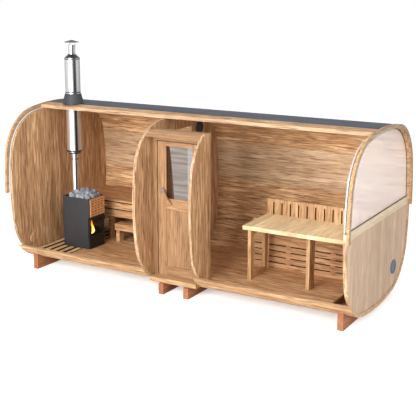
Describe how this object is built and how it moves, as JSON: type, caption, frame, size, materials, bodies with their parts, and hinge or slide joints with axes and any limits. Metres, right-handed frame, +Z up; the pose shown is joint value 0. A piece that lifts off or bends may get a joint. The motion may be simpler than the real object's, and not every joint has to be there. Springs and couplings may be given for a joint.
{
  "type": "barrel sauna",
  "caption": "Cutaway barrel sauna: steam room with wood stove and benches, entrance porch with glazed door, rest room with slatted bench and panorama window.",
  "frame": {"origin": "middle of the footprint, on the ground", "axes": "+X along the barrel from the steam room to the rest room, -Y to the open front, +Z up"},
  "size_m": [4.916, 2.2096, 3.132],
  "materials": {
    "shell_wood": "satin staves",
    "roof_sheet": "matt bitumen sheet",
    "hoop_wood": "satin",
    "cradle_wood": "satin",
    "wall_wood": "satin boards",
    "panorama_glass": "clear",
    "vent_metal": "satin",
    "door_wood": "satin",
    "door_glass": "tinted",
    "hinge_steel": "brushed",
    "floor_wood": "satin boards",
    "bench_wood": "satin",
    "pale_wood": "satin",
    "stove_steel": "matt heatproof paint",
    "grille_copper": "satin, copper toned",
    "stove_iron": "matt",
    "fire_glass": "heatproof",
    "stones": "rough",
    "flue_steel": "brushed",
    "flashing": "matt"
  },
  "bodies": {
    "barrel": {"shell_roof": "shell_wood", "shell_back_upper": "shell_wood", "shell_back_lower": "shell_wood", "shell_base_back": "shell_wood", "shell_base_front": "shell_wood", "roof_sheet": "roof_sheet", "left_hoop": "hoop_wood", "right_hoop": "hoop_wood", "cradles": "cradle_wood", "left_end_wall": "wall_wood", "right_end_wall": "wall_wood", "waist_rail": "wall_wood", "panorama_glass": "panorama_glass", "round_vents": "vent_metal", "steam_wall_front": "wall_wood", "steam_wall_back": "wall_wood", "steam_wall_head": "wall_wood", "porch_wing": "wall_wood", "porch_ceiling": "shell_wood", "entrance_step": "cradle_wood", "door_jamb_left": "wall_wood", "door_jamb_right": "wall_wood", "door_head": "wall_wood", "jamb_hinges": "hinge_steel", "steam_floor": "floor_wood", "rest_floor": "floor_wood", "upper_bench": "bench_wood", "step_bench": "bench_wood", "lounge_top": "pale_wood", "lounge_backrest": "bench_wood", "lounge_grille": "bench_wood", "lounge_supports": "bench_wood", "stove_body": "stove_steel", "stove_grille": "grille_copper", "stove_stones": "stones", "flue_pipe": "flue_steel", "insulated_chimney": "flue_steel", "roof_flashing": "flashing"},
    "door_leaf": {"entrance_door": "door_wood", "door_handle": "door_wood", "door_glass": "door_glass", "door_hinges": "hinge_steel"},
    "fire_door": {"stove_door": "stove_iron", "stove_door_glass": "fire_glass"}
  },
  "joints": [
    {"name": "entrance_door_hinge", "type": "hinge", "parent": "barrel", "child": "door_leaf", "pos_m": [0.343, -0.653, 1.16], "axis": [0, 0, 1], "range_deg": [0, 90]},
    {"name": "fire_door_hinge", "type": "hinge", "parent": "barrel", "child": "fire_door", "pos_m": [-1.643, 0.016, 0.5385], "axis": [0, 0, 1], "range_deg": [0, 90]}
  ]
}
